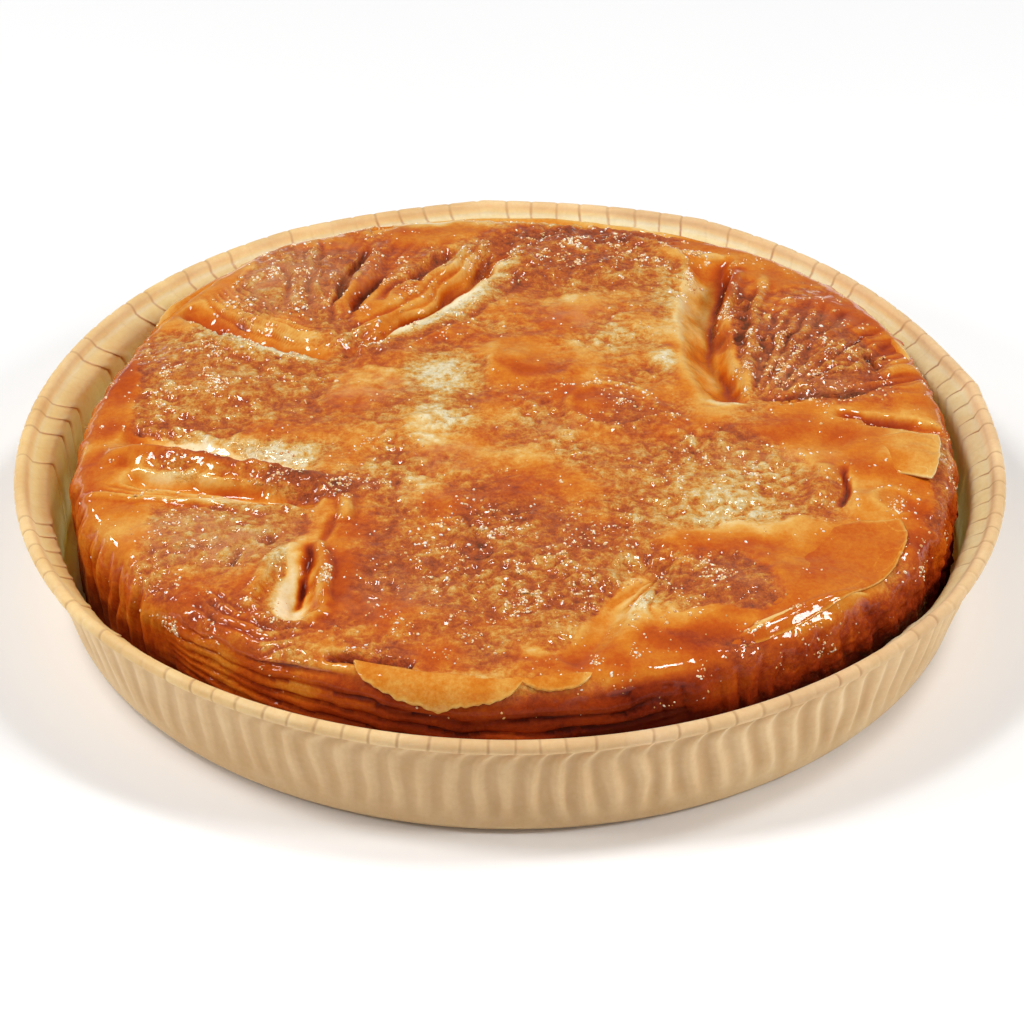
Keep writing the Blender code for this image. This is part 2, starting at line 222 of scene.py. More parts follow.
# Where the glaze lies as a smooth film (positive) or the crust is bare and rough (negative).
FILM_PATCHES = [
    (-13, 12, 8, 12, -0.9), (40, -30, 16, 10, -0.7), (-46, -11, 14, 4, -0.6),
    (44, 38, 5, 24, -0.5), (-78, 10, 5, 30, 0.9), (36, 67, 10, 7, 0.9), (56, 61, 16, 7, 1.0),
    (72, 44, 8, 14, 1.0), (80, 20, 6, 16, 0.6), (64, -9, 13, 10, 1.0), (73, -22, 8, 13, 0.7),
    (84, -22, 5, 24, -0.6), (52, -39, 20, 6, 1.0), (56, -53, 10, 12, 1.0),
    (45, -66, 18, 5, 0.9), (22, -77, 13, 6, 0.9), (-76, -33, 10, 13, 1.0),
    (-76, -13, 7, 6, 0.9), (-60, -24, 20, 3, 0.7), (-36, -50, 6, 16, 0.5), (-66, 45, 9, 8, 0.9),
    (-57, 59, 4, 10, 0.9), (-46, 72, 14, 4, 0.7), (-16, 77, 9, 7, 0.9), (-2, 20, 10, 10, 0.4),
    (66, 4, 14, 4, 0.8), (38, 30, 5, 30, 0.9), (-14, 47, 5, 5, 0.6), (-48, 34, 7, 6, 0.8),
    (-29, 48, 4, 12, 0.5), (-58, 18, 18, 18, -1.0), (-39, -24, 9, 4, -1.0),
    (-44, 58, 12, 16, -0.7), (15, 64, 26, 12, -0.9), (42, -15, 18, 10, -0.7),
    (-55, -39, 14, 9, -1.1), (0, -50, 24, 16, -0.5), (39, -56, 13, 7, -1.4),
    (60, 25, 12, 14, -0.5), (-62, 12, 12, 12, -0.3),
]

# Smooth glaze along folds: start, end, bow, half width, amount.
FILM_STROKES = [
    ((-32, 26), (0, 72), 5, 3.6, 1.2), ((-64, 46), (-36, 25), 3, 4.0, 1.2),
    ((42, 66), (43, 7), 3.5, 6.0, 1.2), ((-76, -2), (-38, -17), 0, 3.0, 0.8),
    ((-74, -16), (-37, -28.5), 0, 2.6, 0.8), ((-38, -41), (-42, -62), -0.3, 3.0, 1.0),
    ((26, -50), (12, -79), 1, 4.0, 0.9), ((-29, 24.5), (4, 66), 5.8, 2.6, -1.3),
    ((-63, 38), (-37, 19), 3.2, 2.6, -1.1), ((-28, 36), (-7, 68), 3, 3.0, 0.8),
]

# Where the glaze is thin and dull.
DULL_PATCHES = [
    (-38.8, -50, 3.0, 9.0, -0.8), (46, 40, 2.0, 14, -0.5), (81, -27, 6, 13, -0.5),
]

# Paler, pinkish patches on the dull crust: painted sheen, a soft reflection on it.
PINK_SHEEN_PATCHES = [
    (-46, 57, 12, 18, 1.0), (-32, 60, 5, 12, 0.5), (-55, -39, 15, 9, 1.0),
    (-16, -24, 6, 5, 0.6), (-25, 12, 9, 5, 0.4), (-12, -14, 8, 5, 0.4), (12, 42, 8, 5, 0.4),
    (14, 36, 7, 4, 0.4), (60, 14, 10, 3, 0.5), (52, 20, 6, 8, 0.5), (62, 38, 8, 4, 0.4),
    (50, -13, 12, 4, 0.5), (-22, -58, 9, 6, 0.4), (-30, 8, 8, 5, 0.3), (7, -4, 6, 4, 0.4),
    (44, -56, 6, 3, 0.4),
]

# Where sugar grains stand thick.
SUGAR_PATCHES = [
    (-58, 20, 16, 13, 0.9), (-46, 55, 11, 18, 0.8), (-26, 54, 9, 20, 0.7),
    (12, 65, 24, 12, 1.2), (-5, 55, 5, 12, 1.2), (-16, 38, 8, 8, 0.9), (-30, 27, 10, 3, 0.9),
    (36, 55, 5, 14, 0.8), (44, 35, 4, 26, 1.0), (58, 26, 14, 18, 0.7), (42, -17, 20, 8, 1.0),
    (-38, -24, 10, 5, 1.4), (-30, -17, 6, 10, 1.4), (-55, -9, 14, 3, 1.0),
    (-37.4, -59, 2.4, 4.5, 2.6), (-34, -50, 1.2, 9, 1.6), (-2, -42, 22, 9, 0.8),
    (5, -58, 24, 9, 1.0), (34, -56, 9, 9, 0.7), (-16, -68, 14, 8, 0.7), (18, 8, 10, 9, 0.7),
    (3, 14, 7, 7, 0.5), (68, -30, 9, 8, 0.7), (50, -66, 14, 3, 0.5), (-60, -36, 16, 9, 0.5),
    (-60, -60, 16, 9, 0.6), (24, -80, 14, 5, 0.8), (79, -24, 7, 18, 0.5), (83, -6, 3, 8, 0.7),
]

# Thin strokes of tone: start, end, bow, half width, amount.
TONE_STROKES = [
    ((-30, 25.5), (2, 67), 5.4, 2.2, -0.30), ((-62, 40), (-37, 21), 3.2, 2.2, -0.28),
    ((-63, 47), (-38, 27), 3, 3.4, 0.10), ((-60, 41), (-39, 25.5), 2, 1.2, 0.16),
    ((-31, 28), (0, 71), 5, 2.4, 0.04), ((-20, 32), (-8, 46), 2.5, 2.4, -0.14),
    ((-72, -2), (-40, -16), 0, 3.0, -0.14), ((-58, -22.5), (-37, -28.5), 0, 2.0, -0.24),
    ((-74, -9.5), (-32, -25), -2, 2.8, 0.20), ((-80, -22.7), (-38, -31.5), 0.5, 1.0, -0.08),
    ((-36, -41), (-33.6, -61), -1.2, 1.0, 0.10), ((27, -50), (14, -76), 1, 2.6, -0.12),
    ((41.6, 25), (46, 62), -3, 2.6, 0.32), ((38.5, 12), (39, 60), 2.0, 2.4, -0.12),
    ((66, -56), (42, -70), 1.0, 0.5, -0.20), ((-33.5, 52), (-27, 73), -1.2, 1.1, -0.14),
    ((-16, 58), (-8, 74), -0.3, 1.1, -0.12), ((-25, 48), (-17, 60), 0.6, 1.2, -0.08),
    ((50, 36), (57, 50), -1.0, 1.0, -0.14), ((44, 26), (47.5, 52), 0.5, 1.8, 0.14),
    ((47, 8.5), (70, 14), 0.8, 1.0, 0.16), ((63, -16), (61, -28), -1.2, 1.1, 0.12),
    ((-19, 56), (-12, 75), -0.3, 1.6, 0.14), ((-32.5, 44), (-27.5, 64), 0.5, 1.5, 0.12),
    # The last stroke on the next line and the three after it darken the recess behind the east
    # flap, the cavity under the front edge and the throat's slit: partly their caramel, partly
    # painted shade.
    ((-35.5, 50), (-29, 76), -1.5, 1.3, 0.12), ((63, 4.4), (82, 1.8), 0, 2.6, 0.16),
    ((-34, -75), (-17, -79.5), 0.5, 2.0, 0.44), ((-37.6, -41), (-39.2, -54), -0.3, 2.2, 0.30),
    ((-38.7, -50), (-39.6, -58), 0, 1.3, 0.45),
]


def srgb(red, green, blue):
    """The linear colour of an 8-bit one."""
    def linear(value):
        value /= 255
        return value / 12.92 if value <= 0.04045 else ((value + 0.055) / 1.055) ** 2.4
    return (linear(red), linear(green), linear(blue), 1.0)


def waves(bearing, terms):
    """Sum of (lobes, size, bearing of a peak in degrees) terms at each bearing in radians."""
    total = np.zeros_like(bearing)
    for lobes, size, peak in terms:
        total += size * np.cos(lobes * (bearing - math.radians(peak)))
    return total


def rim_stray(bearing):
    """How far the rim stands out from its circle at each bearing in radians."""
    stray = waves(bearing, RIM_STRAY)
    for corner, size in RIM_CORNERS:
        turn = (np.degrees(bearing) - corner + 180) % 360 - 180
        stray += size * np.exp(-np.abs(turn) / RIM_CORNER_WIDTH)
    return stray


def ramp(value, low, high):
    """Smooth step of a value from 0 at low to 1 at high."""
    t = np.clip((value - low) / (high - low), 0, 1)
    return t * t * (3 - 2 * t)


def perlin(points, size, seed):
    """Smooth seeded noise between about -1 and 1. size is one length or one for each axis."""
    offset = np.array((seed, 3.7 * seed, 7.3 * seed))
    places = points / np.asarray(size, float) + offset
    values = [noise.noise(place) for place in places.reshape(-1, 3).tolist()]
    return np.array(values).reshape(points.shape[:-1])


def around(radius, bearing, height):
    """Points at a radius, a bearing in radians and a height."""
    return np.stack([radius * np.cos(bearing), radius * np.sin(bearing), height], axis=-1)


def billow(points, size, seed):
    """Noise of rounded lumps with creases between them, 0 in a crease to about 1."""
    return np.clip(1.6 * np.abs(perlin(points, size, seed)), 0, 1)


def line_distance(x, y, start, end, bow):
    """Distance of each point from a bowed line, place along it, and which side it is on.

    The side is 1 to the right of the line and -1 to the left.
    """
    samples = 9
    t = np.linspace(0.0, 1.0, samples)
    run = np.subtract(end, start).astype(float)
    right = np.array((run[1], -run[0])) / np.hypot(*run)
    line = np.add(start, np.outer(t, run) + np.outer(4 * bow * t * (1 - t), right))
    nearest = np.full(x.shape, np.inf)
    place = np.zeros(x.shape)
    side = np.ones(x.shape)
    for i in range(samples - 1):
        a = line[i]
        step = line[i + 1] - a
        s = np.clip(((x - a[0]) * step[0] + (y - a[1]) * step[1]) / step.dot(step), 0, 1)
        distance = np.hypot(x - a[0] - s * step[0], y - a[1] - s * step[1])
        closer = distance < nearest
        nearest = np.where(closer, distance, nearest)
        place = np.where(closer, t[i] + s / (samples - 1), place)
        cross = (x - a[0]) * step[1] - (y - a[1]) * step[0]
        side = np.where(closer, np.sign(cross), side)
    return nearest, place, side


def add_stroke(field, x, y, start, end, bow, left, right, amount):
    """Adds a ridge or trench along a bowed line to a field."""
    reach = max(left, right) + abs(bow)
    near = np.flatnonzero(
        (x > min(start[0], end[0]) - reach) & (x < max(start[0], end[0]) + reach)
        & (y > min(start[1], end[1]) - reach) & (y < max(start[1], end[1]) + reach))
    if not len(near):
        return
    distance, place, side = line_distance(x[near], y[near], start, end, bow)
    half = np.where(side > 0, right, left)
    across = np.clip(1 - (distance / half) ** 2, 0, None) ** 1.5
    field[near] += amount * across * (1 - (2 * place - 1) ** 6)


def add_patches(field, x, y, patches):
    """Adds soft round patches to a field."""
    for east, north, half_x, half_y, amount in patches:
        reach = ((x - east) / half_x) ** 2 + ((y - north) / half_y) ** 2
        field += amount * np.exp(-1.2 * reach ** 1.5)


def fan_relief(x, y):
    """Depth of the creases that spread from the tips of the bundles."""
    depth = np.zeros_like(x)
    for i, (tip, first, last, near, far, pitch, size) in enumerate(FANS):
        reach = np.hypot(x - tip[0], y - tip[1])
        middle = math.radians((first + last) / 2)
        turn = np.arctan2(y - tip[1], x - tip[0]) - middle
        turn = np.degrees((turn + math.pi) % math.tau - math.pi)
        edge = (last - first) / 2
        share = ramp(edge - np.abs(turn), 0, 10) * ramp(reach, near * 0.4, near * 1.6)
        share *= ramp(far - reach, 0, 10)
        spots = np.flatnonzero(share > 0)
        polar = np.stack([turn[spots] / pitch, reach[spots] / 26, 0 * spots], axis=1)
        crease = np.abs(perlin(polar, 1, 51 + i)) * 2.2
        fine = np.abs(perlin(polar, (0.45, 0.7, 1), 61 + i)) * 2.2
        crease = np.clip(1 - crease, 0, 1) ** 2 + 0.4 * np.clip(1 - fine, 0, 1) ** 2
        depth[spots] += size * share[spots] * crease
    return depth


def layer_strokes():
    """The single edges of the rows of layers, each a step further to the left."""
    strokes = []
    for start, end, bow, count, step, half, rise in LAYERS:
        run = np.subtract(end, start)
        left = np.array((-run[1], run[0])) / np.hypot(*run)
        for i in range(count):
            shift = left * step * i
            strokes.append((tuple(start + shift), tuple(end + shift), bow, half, half, rise))
    return strokes


def top_relief(x, y):
    """Height of the folds and bundles above the plain dome, without the crust's grain."""
    height = np.zeros_like(x)
    for east, north, half_x, half_y, rise in MOUNDS:
        reach = ((x - east) / half_x) ** 2 + ((y - north) / half_y) ** 2
        height += rise * np.clip(1 - reach, 0, None) ** 1.5
    for stroke in FOLDS + layer_strokes():
        add_stroke(height, x, y, *stroke)
    height -= fan_relief(x, y)
    for east, north, radius, half, rise in RINGS:
        away = np.hypot(x - east, y - north) - radius
        height += rise * np.exp(-(away / half) ** 2)
    return height


def disc_blank(rings):
    """A unit disc of even squares with rings below its edge.

    Returns the points, whose z counts the rings down from 0, the faces of the disc, the
    faces of the rings and the loop of the last ring.
    """
    n = TOP_GRID
    line = np.linspace(-1, 1, n + 1)
    x, y = np.meshgrid(line, line)
    disc = np.stack([x * np.sqrt(1 - y * y / 2), y * np.sqrt(1 - x * x / 2), 0 * x], axis=2)
    index = np.arange((n + 1) ** 2).reshape(n + 1, n + 1)
    a, b, c, d = index[:-1, :-1], index[:-1, 1:], index[1:, 1:], index[1:, :-1]
    top = np.stack([a, b, c, d], axis=2).reshape(-1, 4)
    loop = np.concatenate([index[0, :-1], index[:-1, -1], index[-1, :0:-1], index[:0:-1, 0]])
    points = disc.reshape(-1, 3)
    edge = points[loop]
    layers = [points]
    side = []
    above = loop
    for ring in range(1, rings + 1):
        below = len(points) + (ring - 1) * len(loop) + np.arange(len(loop))
        layers.append(edge + (0, 0, -ring))
        side.append(np.stack([above, below, np.roll(below, -1), np.roll(above, -1)], axis=1))
        above = below
    return np.concatenate(layers), top, np.concatenate(side), loop, above


def pastry_profile(reach, ring):
    """The plain section: radius, height and slope angle for each point of the blank."""
    edge_height = PASTRY_TOP - TOP_DROP
    side_head = edge_height - SHOULDER_DROP
    flat_radius = PASTRY_RADIUS - SHOULDER_WIDTH
    turn = np.clip((reach - FLAT_SHARE) / (1 - FLAT_SHARE), 0, 1) * math.pi / 2
    radius = np.minimum(reach / FLAT_SHARE, 1) * flat_radius + SHOULDER_WIDTH * np.sin(turn)
    dome = TOP_DROP * np.clip(1 - (radius / PASTRY_RADIUS) ** 2, 0, None)
    height = edge_height + dome - SHOULDER_DROP * (1 - np.cos(turn))
    down = np.clip(ring / SIDE_RINGS, 0, 1)
    foot = PASTRY_FLOOR + UNDER_ROUNDING
    on_side = ring > 0
    height = np.where(on_side, side_head + (foot - side_head) * down, height)
    radius = np.where(on_side, PASTRY_RADIUS - SIDE_LEAN * down, radius)
    under = np.clip((ring - SIDE_RINGS) / UNDER_RINGS, 0, 1) * math.pi / 2
    height -= UNDER_ROUNDING * np.sin(under)
    radius -= UNDER_ROUNDING * (1 - np.cos(under))
    angle = np.where(on_side, math.pi / 2 + under, turn)
    return radius, height, angle


def bearing_window(bearing, middle, half, soft):
    """1 within half of a bearing in degrees, fading to 0 over the soft width."""
    turn = np.abs((np.degrees(bearing) - middle + 180) % 360 - 180)
    return 1 - ramp(turn, half, half + soft)


def side_relief(bearing, height):
    """Layers and drapes on the side: how far it stands out, and the painted shade in its gaps,
    with a tone for each layer.
    """
    along = bearing * PASTRY_RADIUS
    ring = around(PASTRY_RADIUS, bearing, height)
    layered = bearing_window(bearing, -103, 26, 12)
    warp = 2.6 * perlin(ring, (22, 22, 14), 11) + 0.9 * perlin(ring, (7, 7, 5), 12)
    level = (height + warp) / LAYER_PITCH
    step = level - np.floor(level)
    strength = np.clip(0.7 + 1.1 * perlin(ring, (11, 11, 2.4), 13), 0.1, 1.5)
    sheet = ramp(step, 0.0, 0.35) * (1 - 0.6 * ramp(step, 0.8, 1.0))
    run = (along + 4.5 * perlin(ring, (18, 18, 16), 14) + 1.2 * perlin(ring, (5, 5, 6), 15))
    wide = np.abs(perlin(np.stack([run / 5.5, height / 40, 0 * run], axis=1), 1, 16)) * 2
    fine = np.abs(perlin(np.stack([run / 1.9, height / 14, 0 * run], axis=1), 1, 17)) * 2
    drape = np.clip(wide, 0, 1) ** 0.8
    swell = layered * 1.5 * (sheet - 0.7) * strength
    east = bearing_window(bearing, -20, 55, 20)
    drape_size = (1 - layered) * (1 - 0.35 * east)
    swell += drape_size * (1.5 * (drape - 0.5) + 0.45 * (np.clip(fine, 0, 1) - 0.5))
    swell += 0.14 * perlin(ring, 2.2, 18) + (0.2 + 0.5 * east) * perlin(ring, (5, 5, 7), 20)
    crumbly = bearing_window(bearing, *CRUMBLY_EDGE)
    swell += 0.75 * crumbly * (billow(ring, (3.0, 3.0, 2.4), 42) - 0.45)
    # Painted shade: darker in the gaps between the layers and in the valleys between the
    # drapes.
    gap_shade = layered * (1 - ramp(step, 0.05, 0.4)) * np.clip(strength, 0, 1)
    gap_shade += drape_size * (0.8 * ramp(0.32 - drape, 0, 0.32) + 0.3 * ramp(0.3 - fine, 0, 0.3))
    band = perlin(np.stack([along / 24, np.floor(level) * 0.9 + 0.3, 0 * run], axis=1), 1, 19)
    return swell, gap_shade + 0.5 * layered * band


def blur(field, passes):
    """A square field softened by repeated three-point averages."""
    for _ in range(passes):
        for axis in (0, 1):
            field = (np.roll(field, 1, axis) + 2 * field + np.roll(field, -1, axis)) / 4
    return field


def shape_pastry():
    """The pastry's points in mm, its faces, and the fields that its material reads."""
    blank, top_faces, side_faces, loop, last = disc_blank(SIDE_RINGS + UNDER_RINGS)
    bearing = np.arctan2(blank[:, 1], blank[:, 0])
    ring = -np.round(blank[:, 2])
    reach = np.where(ring > 0, 1.0, np.minimum(np.hypot(blank[:, 0], blank[:, 1]), 1))
    radius, height, angle = pastry_profile(reach, ring)
    radius = radius + waves(bearing, PASTRY_STRAY) * (radius / PASTRY_RADIUS) ** 3
    x, y = radius * np.cos(bearing), radius * np.sin(bearing)
    plan = np.stack([x, y, height], axis=1)

    ragged_x = x + 2.6 * perlin(plan, 7, 21) + 1.2 * perlin(plan, 2.6, 22)
    ragged_y = y + 2.6 * perlin(plan, 7, 23) + 1.2 * perlin(plan, 2.6, 24)
    film = np.full_like(x, FILM_BASE)
    add_patches(film, ragged_x, ragged_y, FILM_PATCHES)
    for start, end, bow, half, amount in FILM_STROKES:
        add_stroke(film, x, y, start, end, bow, half, half, amount)
    film = ramp(film + 0.30 * perlin(plan, 9, 25), 0.22, 0.72)
    crust = 1 - film

    shaken_x = x + 1.2 * perlin(plan, 6.5, 26) + 0.25 * perlin(plan, 2.2, 37)
    shaken_y = y + 1.2 * perlin(plan, 6.5, 27) + 0.25 * perlin(plan, 2.2, 38)
    folds = top_relief(shaken_x, shaken_y)
    grain = 0.5 * perlin(plan, 11, 1) + 0.25 * perlin(plan, 4.5, 28) + 0.35 * film
    patchy = np.clip(0.75 + 1.4 * perlin(plan, 12, 40), 0.3, 1.4)
    lumps = 0.55 * (billow(plan, 3.2, 29) - 0.4) + 0.5 * perlin(plan, 1.6, 30)
    cracks = np.clip(1 - 7 * np.abs(perlin(plan, (6, 3.6, 4), 41)), 0, 1)
    grain += crust * patchy * (lumps - 0.5 * cracks)
    rise = folds + grain

    upward = np.clip(np.cos(angle), 0, 1)
    outward = np.clip(np.sin(angle), 0, 1)
    swell, gap_shade = side_relief(bearing, height)
    radius = radius + ramp(outward, 0.4, 1.0) * (ring <= SIDE_RINGS) * swell
    height = height + upward * (rise - TOP_TILT * y)
    points = around(radius, bearing, height)

    grid = (TOP_GRID + 1, TOP_GRID + 1)
    count = grid[0] * grid[1]
    level = rise[:count].reshape(grid)
    hollow = np.zeros_like(x)
    hollow[:count] = (blur(level, 8) - level).ravel()
    deep = np.zeros_like(x)
    deep[:count] = (blur(level, 70) - level).ravel()

    tone = np.full_like(x, TONE_BASE)
    add_patches(tone, ragged_x, ragged_y, TONE_PATCHES)
    for start, end, bow, half, amount in TONE_STROKES:
        add_stroke(tone, shaken_x, shaken_y, start, end, bow, half, half, amount)
    streaks = plan * (0.75, 1.0, 1.0) + (0.45 * y[:, None] * (1, 0, 0))
    tone += 0.16 * perlin(streaks, (15, 8, 9), 31) + 0.07 * perlin(plan, 4.5, 32)
    tone += crust * (0.16 * perlin(plan, 2.0, 33) + 0.03)
    # Darker in the fans' creases and in hollows, paler on ridges: partly caramel pooled in the
    # creases, partly painted shade in them and painted highlight on the ridges.
    tone += 0.08 * fan_relief(shaken_x, shaken_y)
    tone += np.clip(hollow * 0.40, -0.10, 0.35) + np.clip(deep * 0.015, -0.03, 0.05)

    # The side's tone: painted shade from its gaps, with a tone for each layer; it is also
    # darker at the front, on the east and towards its foot.
    side_tone = SIDE_TONE + 0.26 * gap_shade + 0.14 * perlin(plan, (7, 7, 5), 34)
    side_tone += 0.06 * bearing_window(bearing, -48, 26, 14)
    east = bearing_window(bearing, -15, 55, 20)
    side_tone += 0.08 * east
    crumbly = bearing_window(bearing, *CRUMBLY_EDGE)
    side_tone += 0.22 * bearing_window(bearing, -90, 18, 8)
    side_tone += (0.014 + 0.056 * east) * np.clip(25 - height, 0, 30)
    on_side = ramp(outward, 0.45, 0.95)
    tone = tone + (side_tone - tone) * on_side
    film = film + (SIDE_FILM - 0.30 * crumbly - film) * on_side

    # Painted sheen: a paler pinkish colour on the dull crust, strongest in the listed patches.
    pink_sheen = np.zeros_like(x)
    add_patches(pink_sheen, ragged_x, ragged_y, PINK_SHEEN_PATCHES)
    pink_sheen *= np.clip(0.55 + 0.9 * perlin(plan, 2.6, 35), 0, 1) * (1 - on_side)
    sugar = np.full_like(x, SUGAR_BASE)
    add_patches(sugar, ragged_x, ragged_y, SUGAR_PATCHES)
    sugar *= np.clip(0.2 + 2.2 * perlin(plan, 5.0, 36), 0.03, 2)
    pink_sheen = np.clip((pink_sheen + 0.25 * crust * (1 - on_side)) * ramp(tone, 0.2, 0.4), 0, 1)
    sparkle = np.clip(sugar / 1.2, 0, 1) * (1 - on_side) + (0.1 + 0.4 * east) * on_side
    sugar *= np.clip(0.3 - 3 * hollow, 0.02, 1)
    sugar = np.where(ring < 1, sugar * np.clip(perlin(plan, 1.3, 39) + 0.3, 0.02, 1), 0)
    gloss = 1 - 0.75 * ramp(outward, 0.7, 0.95)
    add_patches(gloss, x, y, DULL_PATCHES)
    fields = {"tone": np.clip(tone, 0, 1.1), "film": film, "pink_sheen": pink_sheen, "sparkle": sparkle,
              "gloss": gloss}
    return points, top_faces, side_faces, loop, last, fields, sugar


def base_middle():
    """Where the middle of the case's flat base stands in the frame, in mm."""
    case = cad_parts["paper_case"].data
    low = np.array([vert.co[:2] for vert in case.vertices if vert.co.z < 1e-5])
    return (low.min(axis=0) + low.max(axis=0)) / 2 / MM


BASE_MIDDLE = base_middle()


def link(name, points, faces, material, fields=None, smooth=True):
    """Makes a mesh object from points in plan mm and lets it ride on the part's body."""
    mesh = bpy.data.meshes.new(name)
    placed = (points + (BASE_MIDDLE[0], BASE_MIDDLE[1], 0)) * MM
    mesh.from_pydata(placed.tolist(), [], [list(face) for face in faces])
    for field, values in (fields or {}).items():
        layer = mesh.attributes.new(field, "FLOAT", "POINT")
        layer.data.foreach_set("value", np.asarray(values, np.float32))
    if smooth:
        mesh.shade_smooth()
    mesh.materials.append(material)
    piece = bpy.data.objects.new(name, mesh)
    bpy.context.scene.collection.objects.link(piece)
    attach(piece, "root")
    return piece


def part_of(points, faces, fields, lid):
    """The points, faces and fields that some faces use, closed with a lid of those points."""
    used = np.unique(faces)
    place = np.full(len(points), -1)
    place[used] = np.arange(len(used))
    closed = [place[face].tolist() for face in faces] + [place[loop].tolist() for loop in lid]
    return used, closed, {name: values[used] for name, values in fields.items()}


def make_pastry(material, sugar_and_glint_material):
    """The pastry as two closed pieces that meet under the shoulder without a seam."""
    points, top, side, loop, last, fields, sugar = shape_pastry()
    whole = bpy.data.meshes.new("whole pastry")
    whole.from_pydata(points.tolist(), [], np.concatenate([top, side]).tolist())
    normals = np.empty(len(points) * 3, np.float32)
    whole.vertex_normals.foreach_get("vector", normals)
    normals = normals.reshape(-1, 3)
    bpy.data.meshes.remove(whole)
    pieces = [("pastry_crust", top, [loop[::-1]]), ("pastry_side", side, [loop, last[::-1]])]
    for name, faces, lid in pieces:
        used, closed, part_fields = part_of(points, faces, fields, lid)
        piece = link(name, points[used], closed, material, part_fields)
        piece.data.normals_split_custom_set_from_vertices(normals[used])
        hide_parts("pastry")
    make_sugar_and_glints(points, normals, sugar, sugar_and_glint_material)
    return points


GRAINS = 7000
GRAIN_SIZES = (0.10, 0.24)       # mm


def bead_shape():
    """A small dome of unit size: its corners and its triangles."""
    corners = [(0, 0, 1)]
    for height, spread, turn in ((0.55, 0.75, 0), (-0.4, 1.0, 36)):
        for k in range(5):
            bearing = math.radians(72 * k + turn)
            corners.append((spread * math.cos(bearing), spread * math.sin(bearing), height))
    faces = []
    for k in range(5):
        after = (k + 1) % 5
        faces.append((0, 1 + k, 1 + after))
        faces.append((1 + k, 6 + k, 1 + after))
        faces.append((1 + after, 6 + k, 6 + after))
    return np.array(corners), np.array(faces)


def make_sugar_and_glints(points, normals, sugar, material):
    """Small beads of sugar and caramel, thickest where the crust is grainy; the pale ones are
    partly white sugar, partly painted glints.
    """
    draw = np.random.default_rng(5)
    chosen = draw.choice(len(points), GRAINS, p=sugar / sugar.sum())
    corners, faces = bead_shape()
    verts, tris, whiteness_and_glint = [], [], []
    for k, spot in enumerate(chosen):
        size = draw.uniform(*GRAIN_SIZES) * draw.choice((0.8, 1.0, 1.3))
        stretch = size * np.array((draw.uniform(0.8, 1.8), draw.uniform(0.8, 1.2), 0.8))
        turn = Vector(normals[spot]).to_track_quat("Z", "Y").to_matrix()
        turn = np.array(turn @ Matrix.Rotation(draw.uniform(0, math.tau), 3, "Z"))
        place = points[spot] + turn @ np.array((*draw.uniform(-0.35, 0.35, 2), 0.1 * size))
        verts.append(corners * stretch @ turn.T + place)
        tris.append(faces + k * len(corners))
        whiteness_and_glint.append(np.full(len(corners), draw.uniform(0, 1)))
    return link("sugar_grains_and_glints", np.concatenate(verts), np.concatenate(tris).tolist(), material,
                {"whiteness_and_glint": np.concatenate(whiteness_and_glint)})


# Plates of set glaze: name, corners in turn, lift of each corner off the crust, tone at the
# far side, how much darker the near side is, seed.
PLATES = [
    ("glaze_flap_east", [(63.0, -6.5), (83.4, -1.0), (81.8, -21.0), (68.0, -13.5)],
     (-1.2, 1.3, 1.2, -1.0), 0.28, 0.28, 3),
    ("glaze_sheet_south_east", [(44, -38), (75.0, -31.0), (77.0, -57.0), (34.0, -82.0)],
     (-1.2, 0.5, 0.5, -0.5), 0.50, 0.06, 4),
]
PLATE_GRID = 90
PLATE_THICKNESS = 0.35
PLATE_BEND = 79.0                # radius from which a plate is drawn in
PLATE_REACH = 86.4               # radius that none reaches


def height_finder(points):
    """A function that gives the height of the crust at a place in the plan."""
    tree = kdtree.KDTree((TOP_GRID + 1) ** 2)
    for i in range((TOP_GRID + 1) ** 2):
        tree.insert((points[i][0], points[i][1], 0), i)
    tree.balance()

    def find(x, y):
        near = tree.find_n((x, y, 0), 4)
        return sum(points[i][2] for _, i, _ in near) / len(near)
    return find


def shell(upper, lower, name, fields, material):
    """Closes two grids of points, one above the other, into one thin piece."""
    rows, columns = upper.shape[:2]
    index = np.arange(rows * columns).reshape(rows, columns)
    quads = np.stack([index[:-1, :-1], index[:-1, 1:], index[1:, 1:], index[1:, :-1]],
                     axis=2).reshape(-1, 4)
    count = rows * columns
    rim = np.concatenate([index[0, :-1], index[:-1, -1], index[-1, :0:-1], index[:0:-1, 0]])
    after = np.roll(rim, -1)
    edge = np.stack([rim, rim + count, after + count, after], axis=1)
    faces = np.concatenate([quads, quads[:, ::-1] + count, edge]).tolist()
    points = np.concatenate([upper.reshape(-1, 3), lower.reshape(-1, 3)])
    doubled = {field: np.tile(values.ravel(), 2) for field, values in fields.items()}
    return link(name, points, faces, material, doubled)


def rounded(u, v, width):
    """How near a place of a unit square is to its edge, 1 at the edge to 0 inside."""
    inner = np.minimum(np.minimum(u, 1 - u), np.minimum(v, 1 - v))
    return 1 - ramp(inner, 0, width)


